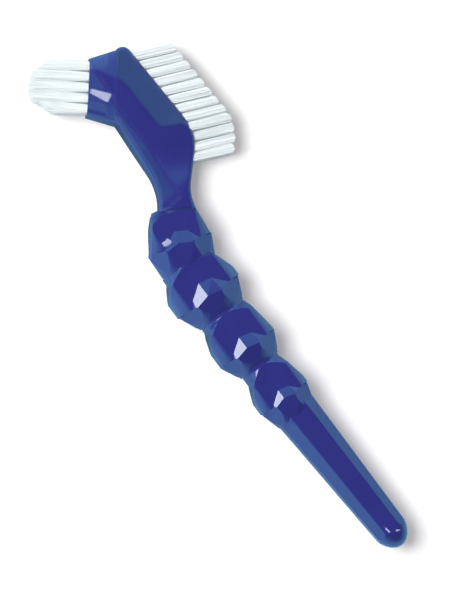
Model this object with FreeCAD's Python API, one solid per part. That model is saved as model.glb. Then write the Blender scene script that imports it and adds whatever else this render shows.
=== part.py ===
"""Denture brush: one moulded handle with a beaded grip, a long and a small field of bristle tufts."""

import FreeCAD
import Part
import os
from math import atan, cos, degrees, pi, radians, sin, tan

V = FreeCAD.Vector
X_AXIS = V(1, 0, 0)
Y_AXIS = V(0, 1, 0)
Z_AXIS = V(0, 0, 1)

# Drawing frame: +X runs from the tail's tip towards the head, +Y to the side of the small field,
# +Z out of the parting plane, which halves the handle at Z = 0. All lengths are in millimetres.

# Tail: an octagonal bar that tapers to a domed tip
TAIL_LENGTH = 54.0
TAIL_TOP_AT = 54.0
TAIL_SHIFT = 0.2
TAIL_TIP_WIDTH = 10.1
TAIL_TIP_FLAT = 4.8
TAIL_TOP_WIDTH = 13.7
TAIL_TOP_FLAT = 6.4
TAIL_EDGE_RADIUS = 0.9
TIP_DOME_LENGTH = 9.6
TIP_DOME_RADIUS = 6.1
TIP_SETBACK = 1.0

# Grip: four beads in a row, counted from the head, with waists between them
CHAIN_BEND = -1.9
CHAIN_START = 52.0
CHAIN_SHIFT = 0.65
ROOT_AT = 50.0
ROOT_RADIUS = 6.6
WAIST_43_AT = 70.1
WAIST_43_RADIUS = 7.15
WAIST_32_AT = 89.8
WAIST_32_RADIUS = 8.3
WAIST_21_AT = 109.2
WAIST_21_RADIUS = 8.9
BEAD_1_ROOT_AT = 106.0
BEAD_1_ROOT_RADIUS = 8.6
BEAD_1_NOSE_AT = 127.0
BEAD_1_NOSE_RADIUS = 4.8
BEAD_1_AT = 113.0
BEAD_1_SHIFT = -3.4
BEAD_1_BEND = -17.0

# Each bead: radius over the belt's ridges, radius of its body, crest and shoulder, reach of its
# level side flats, and where and how deep its side flats fall towards the head
BEAD_4_RADIUS = 8.9
BEAD_4_BODY = 9.4
BEAD_4_CREST = 57.4
BEAD_4_SHOULDER = 66.0
BEAD_4_SIDE = 8.55
BEAD_4_FALL_AT = 65.8
BEAD_4_FALL_REACH = 6.65
BEAD_4_FALL = 20.0
BEAD_3_RADIUS = 10.6
BEAD_3_BODY = 10.8
BEAD_3_CREST = 76.6
BEAD_3_SHOULDER = 86.5
BEAD_3_SIDE = 9.8
BEAD_3_FALL_AT = 87.2
BEAD_3_FALL_REACH = 7.8
BEAD_3_FALL = 16.0
BEAD_2_RADIUS = 11.6
BEAD_2_BODY = 11.9
BEAD_2_CREST = 96.6
BEAD_2_SHOULDER = 106.0
BEAD_2_SIDE = 11.4
BEAD_2_FALL_AT = 106.0
BEAD_2_FALL_REACH = 8.4
BEAD_2_FALL = 30.0
BEAD_1_RADIUS = 10.8
BEAD_1_BODY = 11.0
BEAD_1_CREST = 114.6
BEAD_1_SHOULDER = 122.8
BEAD_1_SIDE = 10.7
BEAD_1_FALL_AT = 118.0
BEAD_1_FALL_REACH = 8.8
BEAD_1_FALL = 16.3
WAIST_REST = 0.5
CREST_LEAD = 1.2
TURN_ROUNDING = 0.8

# Facets of each bead: broad flats above and below that run level to the shoulder, a belt of small
# flats that rises out of them to the crest, and a back ring in line with the tail's flats
BACK_FLATS = 8
BELT_FLATS = 14
BACK_TURN = -7.0
BELT_TURN = -7.0
BELT_FALL = 26.0
BROAD_FALL = 0.5
BEAD_1_BROAD_FALL = 7.0
BEAD_1_BROAD_REACH = 7.6
SIDE_TURN = -6.0
BEAD_1_SIDE_TURN = -5.4
SIDE_PIVOT_BACK = 5.0
CORE_DEPTH = 0.5
FLAT_END_STEP = 0.02

# Neck and head: one outline in the parting plane, cut by a depth that swells towards the head
NECK_RIGHT_START_X = 116.0
NECK_RIGHT_START_Y = -13.5
NECK_RIGHT_START = V(NECK_RIGHT_START_X, NECK_RIGHT_START_Y, 0)
NECK_RIGHT_BEND_X = 125.2
NECK_RIGHT_BEND_Y = -15.9
NECK_RIGHT_BEND = V(NECK_RIGHT_BEND_X, NECK_RIGHT_BEND_Y, 0)
NECK_RIGHT_BEND_RADIUS = 14.0
HEAD_HEEL_X = 138.4
HEAD_HEEL_Y = -29.3
HEAD_HEEL = V(HEAD_HEEL_X, HEAD_HEEL_Y, 0)
HEAD_HEEL_RADIUS = 14.0
HEAD_TOE_X = 173.6
HEAD_TOE_Y = -28.9
HEAD_TOE = V(HEAD_TOE_X, HEAD_TOE_Y, 0)
HEAD_TOE_RADIUS = 2.7
NECK_LEFT_TOP_X = 159.2
NECK_LEFT_TOP_Y = -12.1
NECK_LEFT_TOP = V(NECK_LEFT_TOP_X, NECK_LEFT_TOP_Y, 0)
NECK_LEFT_TOP_RADIUS = 3.0
NECK_LEFT_BEND_X = 130.0
NECK_LEFT_BEND_Y = -9.2
NECK_LEFT_BEND = V(NECK_LEFT_BEND_X, NECK_LEFT_BEND_Y, 0)
NECK_LEFT_BEND_RADIUS = 20.0
NECK_LEFT_START_X = 122.0
NECK_LEFT_START_Y = 0.5
NECK_LEFT_START = V(NECK_LEFT_START_X, NECK_LEFT_START_Y, 0)
NECK_BASE_LEFT_Y = -2.0
NECK_BASE_LEFT = V(NECK_RIGHT_START_X, NECK_BASE_LEFT_Y, 0)
HEAD_HALF_DEPTH = 7.3
NECK_HALF_DEPTH = 4.6
NECK_BASE_HALF_DEPTH = 5.2
NECK_THIN_AT = 129.0
HEAD_FULL_AT = 146.0
NECK_DEPTH_ROUNDING = 20.0
HEAD_EDGE_RADIUS = 1.5
PLATE_CORNER_RADIUS = 1.8

# Boss of the small field: a tapered stub with rounded corners on the side of the head
BOSS_TOP_X = 177.4
BOSS_TOP_Y = -17.9
BOSS_TOP = V(BOSS_TOP_X, BOSS_TOP_Y, 0)
BOSS_FOOT_X = 163.7
BOSS_FOOT_Y = -5.8
BOSS_FOOT = V(BOSS_FOOT_X, BOSS_FOOT_Y, 0)
BOSS_REACH = 7.7
BOSS_ROOT_REACH = 10.5
BOSS_TOP_DRAFT = 21.0
BOSS_FOOT_DRAFT = 13.0
BOSS_DEPTH = 12.6
BOSS_ROOT_DEPTH = 14.0
BOSS_CORNER = 4.6
BOSS_ROOT_CORNER = 5.2

# Long field: tufts in a grid on the long face of the head and round its heel
LONG_COLUMNS_STRAIGHT = 8
LONG_COLUMNS_HEEL = 4
LONG_FIRST_AT = 169.1
LONG_PITCH = 3.49
HEEL_PITCH = 3.25
LONG_ROWS = 4
LONG_NARROW_COLUMNS = 3
LONG_NARROW_ROWS = 3
LONG_ROW_PITCH = 3.3
LONG_LEAN = 25.0
LONG_TUFT_LENGTH = 13.0
LONG_TUFT_RADIUS = 1.1
LONG_TIP_RADIUS = 1.42

# Small field: tufts at right angles to the face of the boss, trimmed to a dome
SMALL_PITCH = 3.35
SMALL_ROWS = 3
SMALL_ROW_PITCH = 3.3
SMALL_TUFT_LENGTHS = [15.0, 17.5, 17.6, 17.0, 11.0]
SMALL_TUFT_RADIUS = 1.15
SMALL_TIP_RADIUS = 1.6

# Tuft holes and the metal anchors that hold the folded tufts in them
HOLE_DEPTH = 3.8
HOLE_CLEARANCE = 0.05
ANCHOR_THICKNESS = 0.25
ANCHOR_HEIGHT = 1.5
ANCHOR_LIFT = 0.4


def rounded_edges(points, radii):
    """Edges of a closed outline of straight runs, each corner rounded by its own radius."""
    starts = []
    ends = []
    arcs = []
    count = len(points)
    for i in range(count):
        corner = points[i]
        if not radii[i]:
            starts.append(corner)
            ends.append(corner)
            arcs.append(None)
            continue
        back = (points[i - 1] - corner).normalize()
        ahead = (points[(i + 1) % count] - corner).normalize()
        half = back.getAngle(ahead) / 2
        middle = (back + ahead).normalize()
        run = radii[i] / tan(half)
        centre = corner + middle * (radii[i] / sin(half))
        starts.append(corner + back * run)
        ends.append(corner + ahead * run)
        arcs.append(Part.Arc(starts[i], centre - middle * radii[i], ends[i]).toShape())
    edges = []
    for i in range(count):
        if arcs[i]:
            edges.append(arcs[i])
        edges.append(Part.makeLine(ends[i], starts[(i + 1) % count]))
    return edges


def rounded_outline(points, radii):
    return Part.Wire(rounded_edges(points, radii))


def octagon(at, width, flat):
    """Cross-section of the tail at a station, with softened edges."""
    side = width / 2
    half = flat / 2
    pairs = [(side, -half), (side, half), (half, side), (-half, side)]
    pairs += [(-side, half), (-side, -half), (-half, -side), (half, -side)]
    points = [V(at, TAIL_SHIFT + y, z) for y, z in pairs]
    return rounded_outline(points, [TAIL_EDGE_RADIUS] * len(points))


def make_tail():
    bar = Part.makeLoft(
        [
            octagon(-TIP_SETBACK, TAIL_TIP_WIDTH, TAIL_TIP_FLAT),
            octagon(TAIL_LENGTH, TAIL_TOP_WIDTH, TAIL_TOP_FLAT),
        ],
        True,
        True,
    )
    ellipse = Part.Ellipse(V(TIP_DOME_LENGTH - TIP_SETBACK, 0, 0), TIP_DOME_LENGTH, TIP_DOME_RADIUS)
    tip = V(-TIP_SETBACK, 0, 0)
    crown = V(TIP_DOME_LENGTH - TIP_SETBACK, TIP_DOME_RADIUS, 0)
    quarter = Part.ArcOfEllipse(ellipse, pi / 2, pi).toShape()
    far_top = V(TAIL_LENGTH, TAIL_TOP_WIDTH, 0)
    far_axis = V(TAIL_LENGTH, 0, 0)
    runs = [Part.makeLine(crown, far_top), Part.makeLine(far_top, far_axis), Part.makeLine(far_axis, tip)]
    dome = Part.Face(Part.Wire([quarter] + runs)).revolve(V(0, 0, 0), X_AXIS, 360)
    dome.translate(V(0, TAIL_SHIFT, 0))
    tail = bar.common(dome)
    tail.translate(V(TAIL_TOP_AT - TAIL_LENGTH, 0, 0))
    return tail


def bead_body(radius, crest, shoulder, back, front):
    """Turned bead on the X axis: waist, back flank, barrel, steep front flank and waist."""
    back_at, back_radius = back
    front_at, front_radius = front
    points = [
        V(back_at, 0, 0),
        V(back_at, back_radius, 0),
        V(back_at + WAIST_REST, back_radius, 0),
        V(crest - CREST_LEAD, radius, 0),
        V(shoulder, radius, 0),
        V(front_at - WAIST_REST, front_radius, 0),
        V(front_at, front_radius, 0),
        V(front_at, 0, 0),
    ]
    radii = [0, 0, TURN_ROUNDING, TURN_ROUNDING, TURN_ROUNDING, TURN_ROUNDING, 0, 0]
    return Part.Face(rounded_outline(points, radii)).revolve(V(0, 0, 0), X_AXIS, 360)


def cut_flats(body, azimuths, at, reach, fall, pivot_at=0, turn=0):
    """Cuts flats that pass a reach from the axis at a station and fall towards the head."""
    size = 6 * reach
    for azimuth in azimuths:
        block = Part.makeBox(size, size, size, V(-size / 2, -size / 2, 0))
        block.rotate(V(0, 0, 0), Y_AXIS, fall)
        block.translate(V(at, 0, reach))
        block.rotate(V(0, 0, 0), X_AXIS, azimuth)
        block.rotate(V(pivot_at, 0, 0), Z_AXIS, turn)
        body = body.cut(block)
    return body


def around(count, turn):
    return [turn + k * 360.0 / count for k in range(count)]


def faceted_bead(sizes, side, back, front, broad, side_turn):
    """Bead in two halves that run into each other, each cut by its own flats."""
    radius, body_radius, crest, shoulder = sizes
    side_reach, fall_at, fall_reach, fall = side
    broad_reach, broad_fall = broad
    body = bead_body(body_radius, crest, shoulder, back, front)
    room = 3 * body_radius
    ahead = Part.makeBox(front[0] - crest, room, room, V(crest, -room / 2, -room / 2))
    front_half = cut_flats(body.common(ahead), [0, 180], front[0], broad_reach, broad_fall)
    pivot_at = fall_at - SIDE_PIVOT_BACK
    front_half = cut_flats(front_half, [90, 270], fall_at, fall_reach, fall, pivot_at, side_turn)
    front_half = cut_flats(front_half, [90, 270], crest, side_reach, 0)
    core = Part.makeCylinder(front[1] - CORE_DEPTH, front[0] - crest, V(crest, 0, 0), X_AXIS)
    belt_reach = radius * cos(pi / BELT_FLATS)
    back_reach = back[1] + FLAT_END_STEP
    back_fall = degrees(atan((belt_reach - back_reach) / (crest - back[0])))
    back_flats = around(BACK_FLATS, BACK_TURN)
    back_half = cut_flats(body, back_flats, back[0], back_reach, -back_fall)
    belt = around(BELT_FLATS, BELT_TURN + 180.0 / BELT_FLATS)
    back_half = cut_flats(back_half, belt, crest, belt_reach, BELT_FALL)
    return front_half.fuse([back_half, core])


def make_grip():
    """Beads 4, 3 and 2 on one straight axis, and bead 1 on its own, bent towards the neck."""
    root = (ROOT_AT, ROOT_RADIUS)
    waist_43 = (WAIST_43_AT, WAIST_43_RADIUS)
    waist_32 = (WAIST_32_AT, WAIST_32_RADIUS)
    waist_21 = (WAIST_21_AT, WAIST_21_RADIUS)
    sizes_4 = (BEAD_4_RADIUS, BEAD_4_BODY, BEAD_4_CREST, BEAD_4_SHOULDER)
    sizes_3 = (BEAD_3_RADIUS, BEAD_3_BODY, BEAD_3_CREST, BEAD_3_SHOULDER)
    sizes_2 = (BEAD_2_RADIUS, BEAD_2_BODY, BEAD_2_CREST, BEAD_2_SHOULDER)
    sizes_1 = (BEAD_1_RADIUS, BEAD_1_BODY, BEAD_1_CREST, BEAD_1_SHOULDER)
    side_4 = (BEAD_4_SIDE, BEAD_4_FALL_AT, BEAD_4_FALL_REACH, BEAD_4_FALL)
    side_3 = (BEAD_3_SIDE, BEAD_3_FALL_AT, BEAD_3_FALL_REACH, BEAD_3_FALL)
    side_2 = (BEAD_2_SIDE, BEAD_2_FALL_AT, BEAD_2_FALL_REACH, BEAD_2_FALL)
    side_1 = (BEAD_1_SIDE, BEAD_1_FALL_AT, BEAD_1_FALL_REACH, BEAD_1_FALL)
    broad_4 = (WAIST_43_RADIUS + FLAT_END_STEP, BROAD_FALL)
    broad_3 = (WAIST_32_RADIUS + FLAT_END_STEP, BROAD_FALL)
    broad_2 = (WAIST_21_RADIUS + FLAT_END_STEP, BROAD_FALL)
    broad_1 = (BEAD_1_BROAD_REACH, BEAD_1_BROAD_FALL)
    bead_4 = faceted_bead(sizes_4, side_4, root, waist_43, broad_4, SIDE_TURN)
    bead_3 = faceted_bead(sizes_3, side_3, waist_43, waist_32, broad_3, SIDE_TURN)
    bead_2 = faceted_bead(sizes_2, side_2, waist_32, waist_21, broad_2, SIDE_TURN)
    chain = bead_4.fuse([bead_3, bead_2])
    chain.rotate(V(CHAIN_START, 0, 0), Z_AXIS, CHAIN_BEND)
    chain.translate(V(0, CHAIN_SHIFT, 0))
    base = (BEAD_1_ROOT_AT, BEAD_1_ROOT_RADIUS)
    nose = (BEAD_1_NOSE_AT, BEAD_1_NOSE_RADIUS)
    bead_1 = faceted_bead(sizes_1, side_1, base, nose, broad_1, BEAD_1_SIDE_TURN)
    bead_1.rotate(V(BEAD_1_AT, 0, 0), Z_AXIS, BEAD_1_BEND)
    bead_1.translate(V(0, BEAD_1_SHIFT, 0))
    return [chain, bead_1]


boss_along = (BOSS_TOP - BOSS_FOOT).normalize()
boss_out = V(-boss_along.y, boss_along.x, 0)
boss_face = (BOSS_TOP + BOSS_FOOT) * 0.5
boss_width = (BOSS_TOP - BOSS_FOOT).Length


def boss_point(reach, along):
    """Point of the parting plane inside the boss: how far behind its face, how far along it."""
    return boss_face - boss_out * reach + boss_along * along


def make_head():
    """Plate of the head with the neck: outline in plan, cut to its depth, with rounded edges."""
    top = boss_width / 2 + BOSS_REACH * tan(radians(BOSS_TOP_DRAFT))
    outline = rounded_outline(
        [
            NECK_RIGHT_START,
            NECK_RIGHT_BEND,
            HEAD_HEEL,
            HEAD_TOE,
            boss_point(BOSS_REACH, top),
            NECK_LEFT_TOP,
            NECK_LEFT_BEND,
            NECK_LEFT_START,
            NECK_BASE_LEFT,
        ],
        [
            0,
            NECK_RIGHT_BEND_RADIUS,
            HEAD_HEEL_RADIUS,
            HEAD_TOE_RADIUS,
            PLATE_CORNER_RADIUS,
            NECK_LEFT_TOP_RADIUS,
            NECK_LEFT_BEND_RADIUS,
            0,
            0,
        ],
    )
    room = 2 * HEAD_HALF_DEPTH
    plan = Part.Face(outline).extrude(V(0, 0, 2 * room))
    plan.translate(V(0, 0, -room))
    start = NECK_RIGHT_START.x
    end = BOSS_TOP.x
    wide = abs(HEAD_TOE.y) + 20
    side = rounded_outline(
        [
            V(start, -wide, -NECK_BASE_HALF_DEPTH),
            V(NECK_THIN_AT, -wide, -NECK_HALF_DEPTH),
            V(HEAD_FULL_AT, -wide, -HEAD_HALF_DEPTH),
            V(end, -wide, -HEAD_HALF_DEPTH),
            V(end, -wide, HEAD_HALF_DEPTH),
            V(HEAD_FULL_AT, -wide, HEAD_HALF_DEPTH),
            V(NECK_THIN_AT, -wide, NECK_HALF_DEPTH),
            V(start, -wide, NECK_BASE_HALF_DEPTH),
        ],
        [0, NECK_DEPTH_ROUNDING, NECK_DEPTH_ROUNDING, 0, 0, NECK_DEPTH_ROUNDING, NECK_DEPTH_ROUNDING, 0],
    )
    plate = plan.common(Part.Face(side).extrude(V(0, 2 * wide, 0)))
    rims = [e for e in plate.Edges if is_rim(e)]
    return plate.makeFillet(HEAD_EDGE_RADIUS, rims)


def is_rim(edge):
    """True for the edges between the plate's side faces and its front or back, past the neck's start."""
    box = edge.BoundBox
    flat = box.ZLength < HEAD_HALF_DEPTH - NECK_HALF_DEPTH + 0.1
    return flat and abs(edge.CenterOfMass.z) > 1 and box.XMax > NECK_RIGHT_START.x + 0.1 and box.XLength > 0.3


def boss_section(reach, top, foot, depth, corner):
    half = depth / 2
    middle = boss_point(reach, 0)
    points = []
    for along, z in [(top, half), (top, -half), (-foot, -half), (-foot, half)]:
        points.append(middle + boss_along * along + V(0, 0, z))
    return rounded_outline(points, [corner] * 4)


def make_boss():
    half = boss_width / 2
    top = half + BOSS_ROOT_REACH * tan(radians(BOSS_TOP_DRAFT))
    foot = half + BOSS_ROOT_REACH * tan(radians(BOSS_FOOT_DRAFT))
    face = boss_section(0, half, half, BOSS_DEPTH, BOSS_CORNER)
    root = boss_section(BOSS_ROOT_REACH, top, foot, BOSS_ROOT_DEPTH, BOSS_ROOT_CORNER)
    return Part.makeLoft([face, root], True, True)


def long_seats():
    """Middle of each column of the long field, on the surface of the head."""
    seats = []
    run = (HEAD_TOE - HEAD_HEEL).normalize()
    for k in range(LONG_COLUMNS_STRAIGHT):
        at = LONG_FIRST_AT - k * LONG_PITCH
        seats.append(HEAD_HEEL + run * ((at - HEAD_HEEL.x) / run.x))
    back = (NECK_RIGHT_BEND - HEAD_HEEL).normalize()
    half = back.getAngle(run) / 2
    middle = (back + run).normalize()
    centre = HEAD_HEEL + middle * (HEAD_HEEL_RADIUS / sin(half))
    tangent = HEAD_HEEL + run * (HEAD_HEEL_RADIUS / tan(half))
    spare = (seats[-1] - tangent).dot(run)
    for k in range(LONG_COLUMNS_HEEL):
        turned = ((k + 1) * HEEL_PITCH - spare) / HEAD_HEEL_RADIUS
        arm = tangent - centre
        rotation = FreeCAD.Rotation(Z_AXIS, -turned * 180 / pi)
        seats.append(centre + rotation.multVec(arm))
    return seats


def tuft(seat, direction, length, root_radius, tip_radius):
    """One tuft: a plain stub in its hole that spreads towards its trimmed tip, slotted for its anchor."""
    stub = eight_sided(root_radius, root_radius, HOLE_DEPTH)
    stub.translate(V(0, 0, -HOLE_DEPTH))
    spread = eight_sided(root_radius, tip_radius, length)
    whole = stub.fuse(spread)
    whole.Placement = FreeCAD.Placement(seat, FreeCAD.Rotation(Z_AXIS, direction))
    return whole.cut(anchor(seat, direction, root_radius))


def eight_sided(bottom_radius, top_radius, height):
    """Eight-sided bar on the Z axis whose edges lie on a cone."""
    wires = []
    for radius, z in [(bottom_radius, 0), (top_radius, height)]:
        corners = [V(radius * cos(pi * k / 4), radius * sin(pi * k / 4), z) for k in range(9)]
        wires.append(Part.makePolygon(corners))
    return Part.makeLoft(wires, True, True)


def anchor(seat, direction, root_radius):
    """Metal strip across the bottom of a hole, standing on edge between the folded filaments."""
    width = 1.6 * root_radius
    strip = Part.makeBox(width, ANCHOR_THICKNESS, ANCHOR_HEIGHT, V(-width / 2, -ANCHOR_THICKNESS / 2, 0))
    turn = FreeCAD.Rotation(Z_AXIS, direction)
    strip.Placement = FreeCAD.Placement(seat - direction * (HOLE_DEPTH - ANCHOR_LIFT), turn)
    return strip


def hole(seat, direction, root_radius):
    """Blind hole of a tuft, run out past the surface."""
    floor = seat - direction * HOLE_DEPTH
    return Part.makeCylinder(root_radius + HOLE_CLEARANCE, 2 * HOLE_DEPTH, floor, direction)


def row_offsets(rows, pitch):
    return [(k - (rows - 1) / 2) * pitch for k in range(rows)]


def save(name, solids):
    shape = solids[0] if len(solids) == 1 else Part.makeCompound(solids)
    shape.exportStep("parts/" + name + ".step")
    volume = sum(s.Volume for s in solids)
    print(name, len(solids), "solids", round(volume, 1), "mm3", all(s.isValid() for s in solids))


def lie_down(bead, tufts):
    """Roll about X, in degrees, that lets the brush rest on a bead and on its long tufts."""
    tip = min((p for solid in tufts for p in corner_points(solid)), key=lambda p: p.y + p.z)
    slopes = [(p.z - tip.z) / (p.y - tip.y) for p in corner_points(bead) if p.z < tip.z]
    return -degrees(atan(min(slopes)))


def corner_points(solid):
    return solid.tessellate(0.05)[0]


def place(solids, roll, shift):
    placed = []
    for solid in solids:
        turned = solid.copy()
        turned.rotate(V(0, 0, 0), X_AXIS, roll)
        turned.translate(shift)
        placed.append(turned)
    return placed


os.makedirs("parts", exist_ok=True)

long_direction = V(-sin(radians(LONG_LEAN)), -cos(radians(LONG_LEAN)), 0)
nodes = {}
holes = []
anchors = []
for k, seat in enumerate(long_seats()):
    column = []
    narrow = k >= LONG_COLUMNS_STRAIGHT + LONG_COLUMNS_HEEL - LONG_NARROW_COLUMNS
    rows = LONG_NARROW_ROWS if narrow else LONG_ROWS
    for z in row_offsets(rows, LONG_ROW_PITCH):
        at = seat + V(0, 0, z)
        column.append(tuft(at, long_direction, LONG_TUFT_LENGTH, LONG_TUFT_RADIUS, LONG_TIP_RADIUS))
        holes.append(hole(at, long_direction, LONG_TUFT_RADIUS))
        anchors.append(anchor(at, long_direction, LONG_TUFT_RADIUS))
    nodes["long_tufts_%02d" % (k + 1)] = column
nodes["long_anchors"] = anchors

small_anchors = []
small_columns = len(SMALL_TUFT_LENGTHS)
for k, length in enumerate(SMALL_TUFT_LENGTHS):
    seat = boss_point(0, ((small_columns - 1) / 2 - k) * SMALL_PITCH)
    column = []
    for z in row_offsets(SMALL_ROWS, SMALL_ROW_PITCH):
        at = seat + V(0, 0, z)
        column.append(tuft(at, boss_out, length, SMALL_TUFT_RADIUS, SMALL_TIP_RADIUS))
        holes.append(hole(at, boss_out, SMALL_TUFT_RADIUS))
        small_anchors.append(anchor(at, boss_out, SMALL_TUFT_RADIUS))
    nodes["small_tufts_%02d" % (k + 1)] = column
nodes["small_anchors"] = small_anchors

grip = make_grip()
handle = make_tail().fuse(grip + [make_head(), make_boss()])
handle = handle.removeSplitter().cut(holes)
nodes["handle"] = handle.Solids

roll = lie_down(grip[0], [s for k in nodes if k.startswith("long_tufts") for s in nodes[k]])
outer = [s for k in nodes if "anchors" not in k for s in place(nodes[k], roll, V(0, 0, 0))]
low = V(min(s.optimalBoundingBox().XMin for s in outer), min(s.optimalBoundingBox().YMin for s in outer), 0)
high = V(max(s.optimalBoundingBox().XMax for s in outer), max(s.optimalBoundingBox().YMax for s in outer), 0)
floor = min(s.optimalBoundingBox().ZMin for s in outer)
shift = V(0, 0, -floor) - (low + high) * 0.5
print("roll", round(roll, 3), "shift", shift)
for name, solids in nodes.items():
    save(name, place(solids, roll, shift))
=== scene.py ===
from math import cos, radians, sin

import bmesh
import bpy
from mathutils import Matrix, Vector


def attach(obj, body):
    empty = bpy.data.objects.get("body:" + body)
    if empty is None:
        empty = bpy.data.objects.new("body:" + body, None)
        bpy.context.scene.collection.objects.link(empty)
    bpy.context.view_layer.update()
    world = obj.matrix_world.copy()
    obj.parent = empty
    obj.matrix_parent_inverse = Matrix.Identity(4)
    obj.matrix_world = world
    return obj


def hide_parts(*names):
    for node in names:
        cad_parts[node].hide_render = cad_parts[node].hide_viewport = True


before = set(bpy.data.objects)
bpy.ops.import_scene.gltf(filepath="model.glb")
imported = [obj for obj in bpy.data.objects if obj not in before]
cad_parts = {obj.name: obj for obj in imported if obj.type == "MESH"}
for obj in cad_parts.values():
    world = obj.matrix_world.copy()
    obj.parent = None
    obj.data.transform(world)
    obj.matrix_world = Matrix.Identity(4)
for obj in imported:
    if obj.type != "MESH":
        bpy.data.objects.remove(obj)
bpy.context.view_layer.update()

# The brush lies on its widest bead and on the tips of the long field. Lengths are in metres, except
# for the places on the handle's upper side that its finish uses, which are in mm.
MM = 0.001

# Where the drawing of the brush lies in the frame: a roll about X and a shift
ROLL = radians(7.477)
SHIFT = Vector((-0.092849, 0.015502, 0.011554))

# Rounding of the moulded arrises of the handle, whose points are welded first
ARRIS = 0.00025
ARRIS_SEGMENTS = 2
ARRIS_ANGLE = radians(13)
HANDLE_WELD = 1e-6

# Two levels that a soft change goes between
RISING = (0.0, 1.0)
FALLING = (1.0, 0.0)

# Soft crown of the neck and head, laid over their level faces by the finish, which tilts their
# normals. Places are in mm along the brush, from 1 mm inside the tip of its tail, and across it, as
# seen from above. A pair is where a soft change starts and ends. A lean tilts sideways, and a rise
# tilts along the brush.
SEEN_FROM = Vector((SHIFT.x, 0.0155, 0))
UPPER_FACING = (0.75, 0.95)

# Seam between the head and the boss of the small field
SEAM_START = (159.0, -14.0)
SEAM_RUN = (0.770, -0.638)
SEAM_BESIDE = (2.4, 3.2)
SEAM_BEGIN = (-2.0, -1.0)
SEAM_END = (18.0, 19.6)
SEAM_FACING = (0.05, 0.15)

# Flank beside the long field, whose edge turns as it runs towards the toe
HEEL_LEAN = 0.62
HEEL_TURN = (163.0, 177.0)
HEEL_EDGE = (-21.5, -16.5)
HEEL_SOFT = (-1.2, 1.4)
HEEL_SKEW = 0.625
HEEL_BEGIN = (158.8, 161.8)
TOE_RISE = 0.5
TOE_SOFT = (-0.3, 0.5)

# Flank on the other side of the ridge, whose edge turns twice
FAR_LEAN = 0.9
FAR_TURN = (130.0, 146.0)
FAR_EDGE = (-14.0, -15.4)
FAR_SECOND_TURN = (158.0, 172.0)
FAR_SECOND_SHIFT = (0.0, -1.5)
FAR_SOFT = (-1.2, 1.2)
FAR_BEGIN = (124.0, 130.0)

# Neck and tail
NECK_RISE = 0.63
NECK_AXIS = -14.0
NECK_SKEW = 0.6
NECK_BEGIN = (126.0, 131.0)
NECK_END = (133.0, 147.0)
TAIL_LEAN = 0.16
TAIL_END = (48.0, 53.0)

# Small flats that mirror the window: on the boss, on the first bead, and two at the tail's tip. Each
# has its place with the height above the floor, its run, and half its length and width. Its far end
# is as many times narrower as narrowing says.
GLINTS = [
    {"at": (167.2, -13.2, 17.0), "run": (0.87, 0.49), "long": 4.8, "wide": 1.9, "narrowing": 2.0},
    {"at": (117.7, -0.8, 20.0), "run": (0.0, 1.0), "long": 1.9, "wide": 1.0, "narrowing": 1.0},
    {"at": (6.0, 0.9, 16.0), "run": (1.0, 0.1), "long": 1.5, "wide": 0.35, "narrowing": 1.0},
    {"at": (3.5, -1.9, 15.0), "run": (-0.5, -0.86), "long": 1.1, "wide": 0.35, "narrowing": 1.0},
]

# Soft edges of such a flat, as shares of half its length and width, and how far upwards it must face
GLINT_START = (-1.25, -0.75)
GLINT_STOP = (0.2, 1.3)
GLINT_SIDE = (0.5, 1.6)
GLINT_FACING = (0.3, 0.5)

# Long field: columns of tufts along the straight face of the head, the last ones round its heel
LONG_COLUMNS = 12
LONG_STRAIGHT_COLUMNS = 9
LONG_LEAN = radians(25.0)
LONG_SLOPE = -0.3
LONG_HEEL_SLOPE = 0.1
LONG_FILAMENTS = {
    "Filaments per tuft": 85,
    "Root radius": 0.00134,
    "Tip radius": 0.00148,
    "Bend": 0.00012,
    "Ragged trim": 0.0002,
    "Flare": 0.55,
    "Domed tip": 0.0007,
}

# Small field, column by column from the toe: how far its tips lean inwards, grow and slant
SMALL_OUT = (0.6620, 0.7495)
SMALL_GATHER = [0.0008, 0.0003, 0.0, -0.0001, -0.0001]
SMALL_TRIM = [-0.0003, 0.0, 0.0004, 0.0006, 0.0022]
SMALL_SLOPE = [1.2, 0.3, 0.0, -0.4, -1.6]
SMALL_FILAMENTS = {
    "Filaments per tuft": 150,
    "Root radius": 0.00125,
    "Tip radius": 0.00190,
    "Bend": 0.0004,
    "Ragged trim": 0.0007,
    "Flare": 0.7,
    "Domed tip": 0.0004,
}

# Plain tufts of the CAD: the depth of their holes, how near two points are that count as one, and
# how near to the end of a tuft a point belongs to its tip
HOLE_DEPTH = 0.0038
TUFT_WELD = 1e-7
TIP_LAYER = 1e-5

# Filaments of both fields. The cover is how far a root stands back inside its hole.
ROOT_COVER = 0.0004
FILAMENT_RADIUS = 0.00012
FILAMENT_POINTS = 5
FILAMENT_SIDES = 5
GOLDEN_ANGLE = 2.39996
ROOT_STRAY = 0.3
LONGEST_STRAY = 0.4
DOME_POWER = 3.0
SEAT_RADIUS = 0.0001
SEED = 7

# Shading of a bunch. Its outward direction counts this many times against a filament's own normal.
# It rises this steeply across the tuft, stays between the least and one, and leans aside a little.
BUNCH_SHARE = 2.0
BUNCH_STEEP = 3.0
BUNCH_LEAST = 0.6
BUNCH_ASIDE = 0.5

# Light inside the nylon: a faint painted glow that stands in for light carried inside the filaments, and
# the share that passes through
NYLON_PAINTED_GLOW = 0.08
NYLON_PASSES = 0.12

# Camera: straight above, with the head to the upper left
RIGHT = Vector((-0.624, -0.7815, 0)).normalized()
AHEAD = Vector((0.7815, -0.624, 0)).normalized()
CAMERA_HEIGHT = 1.6
VIEW_HEIGHT = 0.1826
SENSOR_HEIGHT = 36
AIM = SHIFT + Vector((0.0926, -0.0070, 0))
EYE = AIM + Vector((0, 0, CAMERA_HEIGHT))

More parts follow.
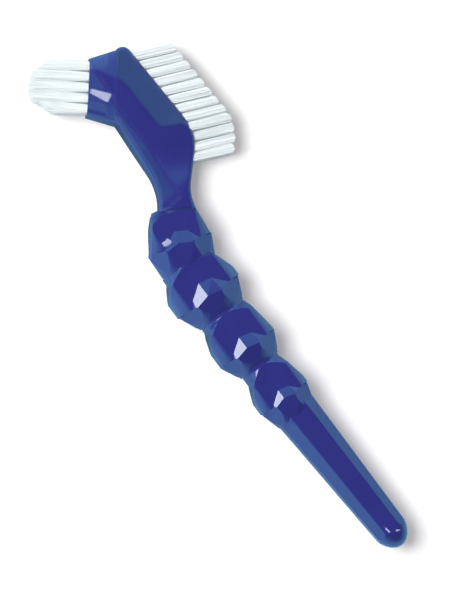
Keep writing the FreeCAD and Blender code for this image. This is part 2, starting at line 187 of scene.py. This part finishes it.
# Lamps
LAMP_DISTANCE = 1.3
KEY_WIDTH = 0.6
KEY_POWER = 17.0
WINDOW_WIDTH = 0.3
WINDOW_POWER = 3.2

# Sweep under the brush, and where it fades into the white distance. Glossy rays see a painted cool
# reflection glow on it, which painted shade from ambient occlusion darkens in the nooks narrower than its
# reach.
SWEEP_REACH = 3
SWEEP_FADES = (0.15, 0.6)
SWEEP_GLOW = 0.22
PAINTED_REFLECTION_GLOW = 1.75
PAINTED_SHADE_REACH = 0.03

# Strength of the even light of the studio, and of what gloss mirrors of it
ROOM_LIGHT = 0.3
WALLS_LIGHT = 1.85

# Colours
DARK_BLUE = (0.021, 0.022, 0.165, 1)
MOULDED_BLUE = (0.025, 0.031, 0.205, 1)
COOL_NYLON = (0.79, 0.87, 0.885, 1)
WHITE_NYLON = (0.92, 0.96, 0.96, 1)
# colour of the painted glow of the nylon
NYLON_PAINTED_GLOW_COLOUR = (0.80, 0.92, 1.0, 1)
NYLON_DEPTH = (0.94, 0.97, 0.98, 1)
BRASS = (0.72, 0.62, 0.4, 1)
PAPER = (0.82, 0.81, 0.815, 1)
# cool colour of the sweep's painted reflection glow
PAINTED_REFLECTION_BLUE = (0.26, 0.63, 1.0)
WHITE = (1, 1, 1, 1)

# What gloss mirrors of the studio, from low down to overhead, and which way counts as overhead
WALLS = [
    (0.0, (0.30, 0.88, 1.0, 1)),
    (0.3, (0.14, 0.46, 0.62, 1)),
    (0.6, (0.05, 0.07, 0.10, 1)),
    (0.9, (0.035, 0.02, 0.035, 1)),
]
WALLS_OVERHEAD = (-0.35, 0.0, 1.0)


def turned(x, y, z):
    """A direction of the drawing, as it lies in the frame."""
    return Vector((x, y * cos(ROLL) - z * sin(ROLL), y * sin(ROLL) + z * cos(ROLL)))


def lamp_place(across, ahead, zenith):
    """Place of a lamp from its direction in the picture and its angle from the zenith."""
    direction = (RIGHT * across + AHEAD * ahead).normalized()
    up = Vector((0, 0, cos(radians(zenith))))
    return LAMP_DISTANCE * (direction * sin(radians(zenith)) + up)


KEY = lamp_place(-1.0, 0.25, 21.0)
WINDOW = lamp_place(-0.731, 0.414, 57.0)


class Wire:
    """A socket of a node tree that takes part in arithmetic."""

    def __init__(self, graph, socket):
        self.graph = graph
        self.socket = socket

    def other(self, output):
        """Another output of the same node."""
        return Wire(self.graph, self.socket.node.outputs[output])

    def __add__(self, other):
        return self.graph.maths("ADD", self, other)

    __radd__ = __add__

    def __mul__(self, other):
        return self.graph.maths("MULTIPLY", self, other)

    __rmul__ = __mul__

    def __sub__(self, other):
        return self.graph.maths("SUBTRACT", self, other)

    def __rsub__(self, other):
        return self.graph.maths("SUBTRACT", other, self)

    def __truediv__(self, other):
        return self.graph.maths("DIVIDE", self, other)

    def __rtruediv__(self, other):
        return self.graph.maths("DIVIDE", other, self)

    def __abs__(self):
        return self.graph.maths("ABSOLUTE", self)


class Graph:
    """A node tree under construction, with one way to add nodes."""

    def __init__(self, tree):
        self.tree = tree

    def node(self, kind, settings=None, values=None, output=0):
        """Adds a node: its type, its settings, the values or links of its sockets, and what it gives."""
        made = self.tree.nodes.new(kind)
        for key, value in (settings or {}).items():
            if key == "stops":
                self.set_stops(made.color_ramp, value)
            else:
                setattr(made, key, value)
        for key, value in (values or {}).items():
            socket = made.inputs[key]
            if isinstance(value, Wire):
                self.tree.links.new(value.socket, socket)
            else:
                socket.default_value = value
        return Wire(self, made.outputs[output]) if made.outputs else made

    def set_stops(self, ramp, stops):
        while len(ramp.elements) < len(stops):
            ramp.elements.new(0.5)
        for element, (position, colour) in zip(ramp.elements, stops):
            element.position = position
            element.color = colour

    def maths(self, operation, *values):
        return self.node("ShaderNodeMath", {"operation": operation}, dict(enumerate(values)))

    def vector(self, operation, *values):
        """Vector maths; SCALE takes a vector and a number."""
        sockets = dict(enumerate(values))
        if operation == "SCALE":
            sockets = {0: values[0], "Scale": values[1]}
        output = "Value" if operation in ("DOT_PRODUCT", "LENGTH") else "Vector"
        return self.node("ShaderNodeVectorMath", {"operation": operation}, sockets, output)

    def blended(self, first, second, share):
        """A vector that goes from a first one to a second one as the share grows."""
        change = self.vector("SUBTRACT", second, first)
        return self.vector("ADD", first, self.vector("SCALE", change, share))


class Finish(Graph):
    """A material or a world under construction."""

    def __init__(self, made):
        self.made = made
        made.use_nodes = True
        made.node_tree.nodes.clear()
        super().__init__(made.node_tree)

    def ramp(self, value, places, levels):
        """Runs softly from one level to another between two places, and stays level beyond them."""
        values = {"Value": value, "From Min": places[0], "From Max": places[1]}
        values.update({"To Min": levels[0], "To Max": levels[1]})
        return self.node("ShaderNodeMapRange", {"interpolation_type": "SMOOTHSTEP"}, values)

    def level(self, value, lowest, highest):
        """Spreads a value of 0 to 1 evenly over a range."""
        return self.node("ShaderNodeMapRange", {}, {"Value": value, "To Min": lowest, "To Max": highest})

    def mix(self, share, first, second):
        """A colour between two colours."""
        return self.node("ShaderNodeMix", {"data_type": "RGBA"}, {0: share, 6: first, 7: second}, 2)

    def shared(self, share, first, second):
        """A surface or a sky mixed from two."""
        return self.node("ShaderNodeMixShader", {}, {0: share, 1: first, 2: second})

    def glow(self, colour, strength):
        return self.node("ShaderNodeEmission", {}, {"Color": colour, "Strength": strength})

    def sky(self, colour, strength):
        return self.node("ShaderNodeBackground", {}, {"Color": colour, "Strength": strength})

    def noise(self, at, scale, detail=2.0):
        return self.node("ShaderNodeTexNoise", {}, {"Vector": at, "Scale": scale, "Detail": detail})

    def place(self, output="Object"):
        return self.node("ShaderNodeTexCoord", {}, {}, output)

    def ray(self, kind):
        """One where the ray is of this kind, and zero elsewhere."""
        return self.node("ShaderNodeLightPath", {}, {}, kind)

    def stored(self, name, output):
        """What Geometry Nodes kept on the piece under a name."""
        return self.node("ShaderNodeAttribute", {"attribute_name": name}, {}, output)

    def between(self, normal, source, target):
        """A normal carried over from one space to another."""
        spaces = {"vector_type": "NORMAL", "convert_from": source, "convert_to": target}
        return self.node("ShaderNodeVectorTransform", spaces, {"Vector": normal})

    def own_normal(self):
        """Normal of the piece itself, on Object axes."""
        return self.between(self.node("ShaderNodeNewGeometry", {}, {}, "Normal"), "WORLD", "OBJECT")

    def surface(self, values):
        return self.node("ShaderNodeBsdfPrincipled", {}, values)

    def close(self, surface, outlet="ShaderNodeOutputMaterial"):
        self.node(outlet, {}, {"Surface": surface})
        return self.made


def scaled(pair, size):
    return (pair[0] * size, pair[1] * size)


def along_and_beside(x, y, start, run):
    """How far a place lies along a line, and beside it."""
    away_x = x - start[0]
    away_y = y - start[1]
    return away_x * run[0] + away_y * run[1], away_y * run[0] - away_x * run[1]


def mirrors_window(at):
    """Normal of a small flat that shows the window to the camera."""
    place = SEEN_FROM + Vector(at) * MM
    return tuple(((WINDOW - place).normalized() + (EYE - place).normalized()).normalized())


def glint(f, x, y, normal, at, run, long, wide, narrowing):
    """Lays a small flat that mirrors the window over a normal."""
    along, beside = along_and_beside(x, y, at, run)
    beside = beside * f.ramp(along, (-long, long), (1.0, narrowing))
    there = f.ramp(along, scaled(GLINT_START, long), RISING)
    there = there * f.ramp(along, scaled(GLINT_STOP, long), FALLING)
    there = there * f.ramp(abs(beside), scaled(GLINT_SIDE, wide), FALLING)
    upwards = f.vector("DOT_PRODUCT", normal, (0.0, 0.0, 1.0))
    there = there * f.ramp(upwards, GLINT_FACING, RISING)
    return f.blended(normal, mirrors_window(at), there)


def without_seam(f, along, beside):
    """Normal of the handle, where the boss runs into the head without an edge."""
    own = f.own_normal()
    outwards = tuple(turned(0, 0, 1))
    facing = f.vector("DOT_PRODUCT", own, outwards)
    level = f.vector("SCALE", outwards, f.maths("SIGN", facing))
    blend = f.ramp(abs(beside), SEAM_BESIDE, FALLING) * f.ramp(along, SEAM_BEGIN, RISING)
    blend = blend * f.ramp(along, SEAM_END, FALLING)
    blend = blend * f.ramp(abs(facing), SEAM_FACING, RISING)
    return f.vector("NORMALIZE", f.blended(own, level, blend))


def crowned(f, at):
    """Normal of the handle, with the soft crown of the neck and head over the level faces."""
    parts = f.node("ShaderNodeSeparateXYZ", {}, {0: at})
    x = (parts.other("X") - SEEN_FROM.x) * (1 / MM)
    y = (parts.other("Y") - SEEN_FROM.y) * (1 / MM)
    along, beside = along_and_beside(x, y, SEAM_START, SEAM_RUN)
    joined = without_seam(f, along, beside)
    facing = f.vector("DOT_PRODUCT", joined, tuple(turned(0, 0, 1)))
    upper = f.ramp(abs(facing), UPPER_FACING, RISING)

    # how much of each flank, of the toe and of the neck there is at a place
    heel = f.ramp(f.ramp(x, HEEL_TURN, HEEL_EDGE) - y, HEEL_SOFT, RISING)
    heel = heel * f.ramp(x - y * HEEL_SKEW, HEEL_BEGIN, RISING)
    far_edge = f.ramp(x, FAR_TURN, FAR_EDGE) + f.ramp(x, FAR_SECOND_TURN, FAR_SECOND_SHIFT)
    far = f.ramp(y - far_edge, FAR_SOFT, RISING) * f.ramp(x, FAR_BEGIN, RISING)
    toe = f.ramp(beside, TOE_SOFT, RISING) * heel
    neck = f.ramp(x, NECK_BEGIN, RISING)
    neck = neck * f.ramp(x - (y - NECK_AXIS) * NECK_SKEW, NECK_END, FALLING)

    lean = (far * FAR_LEAN - heel * (1.0 - toe) * HEEL_LEAN) * upper
    lean = lean + f.ramp(x, TAIL_END, (TAIL_LEAN, 0.0))
    rise = (neck * (1.0 - far) * NECK_RISE + toe * TOE_RISE) * upper
    tilted = f.vector("ADD", joined, f.vector("SCALE", (1.0, 0.0, 0.0), rise))
    tilted = f.vector("ADD", tilted, f.vector("SCALE", tuple(turned(0, 1, 0)), lean))
    tilted = f.vector("NORMALIZE", tilted)
    for flat in GLINTS:
        tilted = glint(f, x, y, tilted, **flat)
    return f.between(tilted, "OBJECT", "WORLD")


def handle_finish():
    """Glossy moulded polypropylene: deep blue, with a soft waviness of the mould."""
    f = Finish(bpy.data.materials.new("moulded blue plastic"))
    at = f.place()
    waves = f.noise(at, 90.0)
    orange_peel = f.noise(at, 900.0)
    relief = {"Strength": 0.08, "Distance": 0.0004, "Height": waves + orange_peel * 0.08}
    values = {
        "Base Color": f.mix(waves, DARK_BLUE, MOULDED_BLUE),
        "Roughness": f.level(orange_peel, 0.13, 0.2),
        "Normal": f.node("ShaderNodeBump", {}, {"Normal": crowned(f, at), **relief}),
        "IOR": 1.5,
        "Coat Weight": 0.3,
        "Coat Roughness": 0.08,
    }
    return f.close(f.surface(values))


def filament_finish():
    """White nylon: each filament a little different, a little light passes through them all, and a faint
    painted glow stands in for light carried inside them.
    """
    f = Finish(bpy.data.materials.new("white nylon filaments"))
    bunch = f.vector("SCALE", f.stored("outwards", "Vector"), BUNCH_SHARE)
    normal = f.vector("NORMALIZE", f.vector("ADD", f.own_normal(), bunch))
    normal = f.between(normal, "OBJECT", "WORLD")
    values = {
        "Base Color": f.mix(f.stored("filament_shade", "Fac"), COOL_NYLON, WHITE_NYLON),
        "Roughness": 0.42,
        "IOR": 1.5,
        "Normal": normal,
        # painted glow: emission that stands in for light carried inside the filaments
        "Emission Color": NYLON_PAINTED_GLOW_COLOUR,
        "Emission Strength": NYLON_PAINTED_GLOW,
    }
    through = f.node("ShaderNodeBsdfTranslucent", {}, {"Color": NYLON_DEPTH, "Normal": normal})
    return f.close(f.shared(NYLON_PASSES, f.surface(values), through))


def anchor_finish():
    """Drawn brass wire, with a fine grain in its gloss."""
    f = Finish(bpy.data.materials.new("drawn brass wire"))
    rough = f.level(f.noise(f.place(), 2500.0), 0.25, 0.45)
    return f.close(f.surface({"Base Color": BRASS, "Metallic": 1.0, "Roughness": rough}))


def floor_finish():
    """White sweep that keeps the shadow of the brush and fades into white away from it. Glossy rays see a
    painted cool reflection glow on it, with painted shade near the brush.
    """
    f = Finish(bpy.data.materials.new("white sweep"))
    shown = f.ray("Is Camera Ray")
    paper = f.node("ShaderNodeBsdfDiffuse", {}, {"Color": PAPER})
    lit = f.node("ShaderNodeAddShader", {}, {0: paper, 1: f.glow(shown, SWEEP_GLOW)})

    # glossy rays see a painted cool reflection glow here, and painted shade from ambient occlusion darkens
    # it close to the brush
    clear = f.node("ShaderNodeAmbientOcclusion", {"samples": 8}, {"Distance": PAINTED_SHADE_REACH}, "AO")
    painted_reflection = f.glow(f.vector("SCALE", PAINTED_REFLECTION_BLUE, clear * clear * clear), PAINTED_REFLECTION_GLOW)
    ground = f.shared(f.ray("Is Glossy Ray"), lit, painted_reflection)
    away = f.vector("LENGTH", f.place())
    distance = f.ramp(away, SWEEP_FADES, RISING) * shown
    return f.close(f.shared(distance, ground, f.glow(WHITE, 1.0)))


def studio():
    """Even light all round; what gloss mirrors is dim overhead and brighter low down and past the head."""
    f = Finish(bpy.data.worlds.new("studio"))
    overhead = f.vector("DOT_PRODUCT", f.place("Generated"), WALLS_OVERHEAD)
    walls = f.node("ShaderNodeValToRGB", {"stops": WALLS}, {0: overhead})
    room = f.shared(f.ray("Is Glossy Ray"), f.sky(WHITE, ROOM_LIGHT), f.sky(walls, WALLS_LIGHT))
    room = f.shared(f.ray("Is Camera Ray"), room, f.sky(WHITE, 1.0))
    return f.close(room, "ShaderNodeOutputWorld")


class Tree(Graph):
    """A Geometry Nodes tree under construction, whose inputs have names."""

    def __init__(self, name):
        super().__init__(bpy.data.node_groups.new(name, "GeometryNodeTree"))
        self.socket("Geometry", "NodeSocketGeometry")
        self.inlet = self.tree.nodes.new("NodeGroupInput")
        self.seats = Wire(self, self.inlet.outputs["Geometry"])

    def socket(self, name, kind, way="INPUT"):
        self.tree.interface.new_socket(name, in_out=way, socket_type=kind)

    def size(self, name, kind="NodeSocketFloat"):
        """A named input of the tree."""
        self.socket(name, kind)
        return Wire(self, self.inlet.outputs[name])

    def read(self, name, kind="FLOAT"):
        return self.node("GeometryNodeInputNamedAttribute", {"data_type": kind}, {"Name": name})

    def store(self, geometry, name, value, kind="FLOAT"):
        settings = {"data_type": kind, "domain": "POINT"}
        values = {"Geometry": geometry, "Name": name, "Value": value}
        return self.node("GeometryNodeStoreNamedAttribute", settings, values)

    def random(self, low, high, index, seed):
        values = {2: low, 3: high, "ID": index, "Seed": seed}
        return self.node("FunctionNodeRandomValue", {"data_type": "FLOAT"}, values, 1)

    def spanned(self, side, up, across, over):
        """A vector made of a length to the side and a length upwards."""
        return self.vector("ADD", self.vector("SCALE", side, across), self.vector("SCALE", up, over))

    def close(self, geometry):
        self.socket("Geometry", "NodeSocketGeometry", "OUTPUT")
        self.node("NodeGroupOutput", {}, {"Geometry": geometry})
        return self.tree


def filament_tree():
    """Fills each tuft with filaments: roots on a spiral, a spread and a bend towards trimmed tips."""
    t = Tree("tuft filaments")
    count = t.size("Filaments per tuft", "NodeSocketInt")
    thickness = t.size("Filament radius")
    root_radius = t.size("Root radius")
    tip_radius = t.size("Tip radius")
    bend = t.size("Bend")
    ragged = t.size("Ragged trim")
    flare = t.size("Flare")
    dome = t.size("Domed tip")
    finish = t.size("Finish", "NodeSocketMaterial")

    # one straight line of a few points for each filament, at the seat of its tuft
    seats = t.node("GeometryNodeMeshToPoints", {}, {"Mesh": t.seats, "Radius": SEAT_RADIUS})
    copied = {"Geometry": seats, "Amount": count}
    roots = t.node("GeometryNodeDuplicateElements", {"domain": "POINT"}, copied)
    roots = t.store(roots, "number", roots.other("Duplicate Index"))
    each = t.node("GeometryNodeInputIndex")
    roots = t.store(roots, "filament_shade", t.random(0.0, 1.0, each, SEED))
    roots = t.store(roots, "root", t.node("GeometryNodeInputPosition"), "FLOAT_VECTOR")
    line = t.node("GeometryNodeCurvePrimitiveLine", {}, {"Start": (0, 0, 0), "End": (0, 0, 1)})
    line = t.node("GeometryNodeResampleCurve", {}, {"Curve": line, "Count": FILAMENT_POINTS})
    grown = t.node("GeometryNodeInstanceOnPoints", {}, {"Points": roots, "Instance": line})
    grown = t.node("GeometryNodeRealizeInstances", {}, {"Geometry": grown})

    # where a point of a filament lies across its tuft
    along = t.node("GeometryNodeSplineParameter")
    which = t.maths("FLOOR", t.node("GeometryNodeInputIndex") / FILAMENT_POINTS)
    number = t.read("number")
    lean = t.read("lean", "FLOAT_VECTOR")
    side = t.read("side", "FLOAT_VECTOR")
    up = t.vector("CROSS_PRODUCT", lean, side)
    turn = number * GOLDEN_ANGLE + t.random(-ROOT_STRAY, ROOT_STRAY, which, SEED + 1)
    out = t.maths("SQRT", (number + 0.5) / count)
    across = t.maths("COSINE", turn) * out
    over = t.maths("SINE", turn) * out
    radius = root_radius + t.maths("POWER", along, flare) * (tip_radius - root_radius)
    spread = t.spanned(side, up, across * radius, over * radius)

    # how far along the tuft it lies, and how the filament bends and leans
    trim = across * tip_radius * t.read("slope") - t.maths("POWER", abs(across), DOME_POWER) * dome
    length = t.read("reach") + trim + ragged * t.random(-1, LONGEST_STRAY, which, SEED + 2)
    run = t.vector("SCALE", lean, length * along)
    square = along * along
    sideways = square * (bend * t.random(-1, 1, which, SEED + 3))
    upwards = square * (bend * t.random(-1, 1, which, SEED + 4))
    drift = t.spanned(side, up, sideways, upwards)
    splay = t.vector("SCALE", t.read("splay", "FLOAT_VECTOR"), square)
    start = t.vector("ADD", t.read("root", "FLOAT_VECTOR"), spread)
    place = t.vector("ADD", start, t.vector("ADD", t.vector("ADD", run, drift), splay))

    # nothing goes through the floor
    parts = t.node("ShaderNodeSeparateXYZ", {}, {0: place})
    height = t.maths("MAXIMUM", parts.other("Z"), thickness)
    lifted = {"X": parts.other("X"), "Y": parts.other("Y"), "Z": height}
    lifted = t.node("ShaderNodeCombineXYZ", {}, lifted)
    bent = t.node("GeometryNodeSetPosition", {}, {"Geometry": grown, "Position": lifted})

    # the direction that the finish reads, so that a tuft is shaded as one bunch
    flattened = t.maths("MAXIMUM", t.maths("MINIMUM", over * BUNCH_STEEP, 1.0), BUNCH_LEAST)
    outwards = t.spanned(side, up, across * BUNCH_ASIDE, flattened)
    bent = t.store(bent, "outwards", outwards, "FLOAT_VECTOR")

    ring = {"Resolution": FILAMENT_SIDES, "Radius": thickness}
    ring = t.node("GeometryNodeCurvePrimitiveCircle", {"mode": "RADIUS"}, ring)
    skin = {"Curve": bent, "Profile Curve": ring, "Fill Caps": True}
    solid = t.node("GeometryNodeCurveToMesh", {}, skin)
    solid = t.node("GeometryNodeSetShadeSmooth", {}, {"Geometry": solid})
    solid = t.node("GeometryNodeRealizeInstances", {}, {"Geometry": solid})
    return t.close(t.node("GeometryNodeSetMaterial", {}, {"Geometry": solid, "Material": finish}))


def solids_of(node):
    """The closed skins of a CAD node, each as a list of its points."""
    mesh = bmesh.new()
    mesh.from_mesh(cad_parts[node].data)
    bmesh.ops.remove_doubles(mesh, verts=mesh.verts, dist=TUFT_WELD)
    groups = []
    seen = set()
    for start in mesh.verts:
        if start.index in seen:
            continue
        group = []
        stack = [start]
        seen.add(start.index)
        while stack:
            point = stack.pop()
            group.append(point.co.copy())
            for edge in point.link_edges:
                neighbour = edge.other_vert(point)
                if neighbour.index not in seen:
                    seen.add(neighbour.index)
                    stack.append(neighbour)
        groups.append(group)
    mesh.free()
    return groups


def seat_and_reach(points, lean):
    """Where a tuft leaves its hole and how far it stands out, from the points of its plain solid."""
    heights = [point.dot(lean) for point in points]
    high = max(heights)
    end = [point for point, height in zip(points, heights) if height > high - TIP_LAYER]
    tip = sum(end, Vector()) / len(end)
    reach = high - min(heights) - HOLE_DEPTH
    return tip - lean * reach, reach


def tufts_of(node, lean, side, gather, trim, slope):
    """The tufts of one column, for the filaments to grow from."""
    tufts = []
    for points in solids_of(node):
        seat, reach = seat_and_reach(points, lean)
        # the wall of a tuft round its anchor is shorter than the hole, and grows nothing
        if reach > 0:
            tufts.append(
                {
                    "seat": seat - lean * ROOT_COVER,
                    "lean": lean,
                    "side": side,
                    "splay": side * gather,
                    "reach": reach + ROOT_COVER + trim,
                    "slope": slope,
                }
            )
    return tufts


def bake(name, obj):
    """A plain mesh object made from what an object's modifiers give. The object itself goes."""
    bpy.context.view_layer.update()
    evaluated = obj.evaluated_get(bpy.context.evaluated_depsgraph_get())
    mesh = bpy.data.meshes.new_from_object(evaluated)
    piece = bpy.data.objects.new(name, mesh)
    bpy.context.scene.collection.objects.link(piece)
    bpy.data.objects.remove(obj)
    return piece


def grow_field(name, tufts, tree, sizes):
    """Grows the filaments of one field from its tufts."""
    mesh = bpy.data.meshes.new(name + " seats")
    mesh.from_pydata([tuft["seat"] for tuft in tufts], [], [])
    for key in ("lean", "side", "splay"):
        layer = mesh.attributes.new(key, "FLOAT_VECTOR", "POINT")
        for i, tuft in enumerate(tufts):
            layer.data[i].vector = tuft[key]
    for key in ("reach", "slope"):
        layer = mesh.attributes.new(key, "FLOAT", "POINT")
        for i, tuft in enumerate(tufts):
            layer.data[i].value = tuft[key]
    seats = bpy.data.objects.new(name + " seats", mesh)
    bpy.context.scene.collection.objects.link(seats)
    grower = seats.modifiers.new("filaments", "NODES")
    grower.node_group = tree
    for item in tree.interface.items_tree:
        if item.in_out == "INPUT" and item.name in sizes:
            grower[item.identifier] = sizes[item.name]
    return bake(name, seats)


def dress(name, finish):
    """Puts a finish on a CAD node."""
    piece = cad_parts[name]
    piece.data.materials.clear()
    piece.data.materials.append(finish)
    return piece


def round_arrises(handle):
    """Welds the handle's points and rounds its arrises a little."""
    weld = handle.modifiers.new("one skin", "WELD")
    weld.merge_threshold = HANDLE_WELD
    arris = handle.modifiers.new("rounded arrises", "BEVEL")
    arris.width = ARRIS
    arris.segments = ARRIS_SEGMENTS
    arris.limit_method = "ANGLE"
    arris.angle_limit = ARRIS_ANGLE
    arris.harden_normals = True
    arris.loop_slide = False


def softbox(name, place, width, power):
    """Square area lamp that faces the brush."""
    lamp = bpy.data.lights.new(name, "AREA")
    lamp.size = width
    lamp.energy = power
    holder = bpy.data.objects.new(name, lamp)
    holder.location = place
    holder.rotation_euler = place.to_track_quat("Z", "Y").to_euler()
    bpy.context.scene.collection.objects.link(holder)
    return holder


blue = handle_finish()
nylon = filament_finish()
brass = anchor_finish()

# Handle and anchors: the CAD solids themselves
round_arrises(dress("handle", blue))
for name in ("long_anchors", "small_anchors"):
    dress(name, brass)

# Bristles of both fields
tree = filament_tree()
common = {"Filament radius": FILAMENT_RADIUS, "Finish": nylon}

lean = turned(-sin(LONG_LEAN), -cos(LONG_LEAN), 0)
side = turned(cos(LONG_LEAN), -sin(LONG_LEAN), 0)
long_nodes = ["long_tufts_%02d" % (k + 1) for k in range(LONG_COLUMNS)]
tufts = []
for k, node in enumerate(long_nodes):
    slope = LONG_SLOPE if k < LONG_STRAIGHT_COLUMNS else LONG_HEEL_SLOPE
    tufts += tufts_of(node, lean, side, 0.0, 0.0, slope)
long_field = grow_field("long_bristles", tufts, tree, {**LONG_FILAMENTS, **common})
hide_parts(*long_nodes)
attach(long_field, "root")

lean = turned(SMALL_OUT[0], SMALL_OUT[1], 0)
side = turned(-SMALL_OUT[1], SMALL_OUT[0], 0)
small_nodes = ["small_tufts_%02d" % (k + 1) for k in range(len(SMALL_SLOPE))]
tufts = []
for k, node in enumerate(small_nodes):
    tufts += tufts_of(node, lean, side, SMALL_GATHER[k], SMALL_TRIM[k], SMALL_SLOPE[k])
small_field = grow_field("small_bristles", tufts, tree, {**SMALL_FILAMENTS, **common})
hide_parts(*small_nodes)
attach(small_field, "root")

# Floor
corners = [(-1, -1), (1, -1), (1, 1), (-1, 1)]
floor_mesh = bpy.data.meshes.new("sweep")
floor_mesh.from_pydata([(x * SWEEP_REACH, y * SWEEP_REACH, 0) for x, y in corners], [], [(0, 1, 2, 3)])
floor = bpy.data.objects.new("sweep", floor_mesh)
bpy.context.scene.collection.objects.link(floor)
floor.data.materials.append(floor_finish())

# Camera
camera = bpy.data.cameras.new("camera")
camera.sensor_fit = "VERTICAL"
camera.sensor_height = SENSOR_HEIGHT
camera.lens = SENSOR_HEIGHT * CAMERA_HEIGHT / VIEW_HEIGHT
eye = bpy.data.objects.new("camera", camera)
axes = Matrix((RIGHT, AHEAD, Vector((0, 0, 1)))).transposed()
eye.matrix_world = Matrix.Translation(EYE) @ axes.to_4x4()
bpy.context.scene.collection.objects.link(eye)
bpy.context.scene.camera = eye

# Light: the key softbox isn't mirrored, and the window is
key = softbox("key softbox", KEY, KEY_WIDTH, KEY_POWER)
key.visible_glossy = False
softbox("window", WINDOW, WINDOW_WIDTH, WINDOW_POWER)
bpy.context.scene.world = studio()
bpy.context.scene.view_settings.view_transform = "Standard"
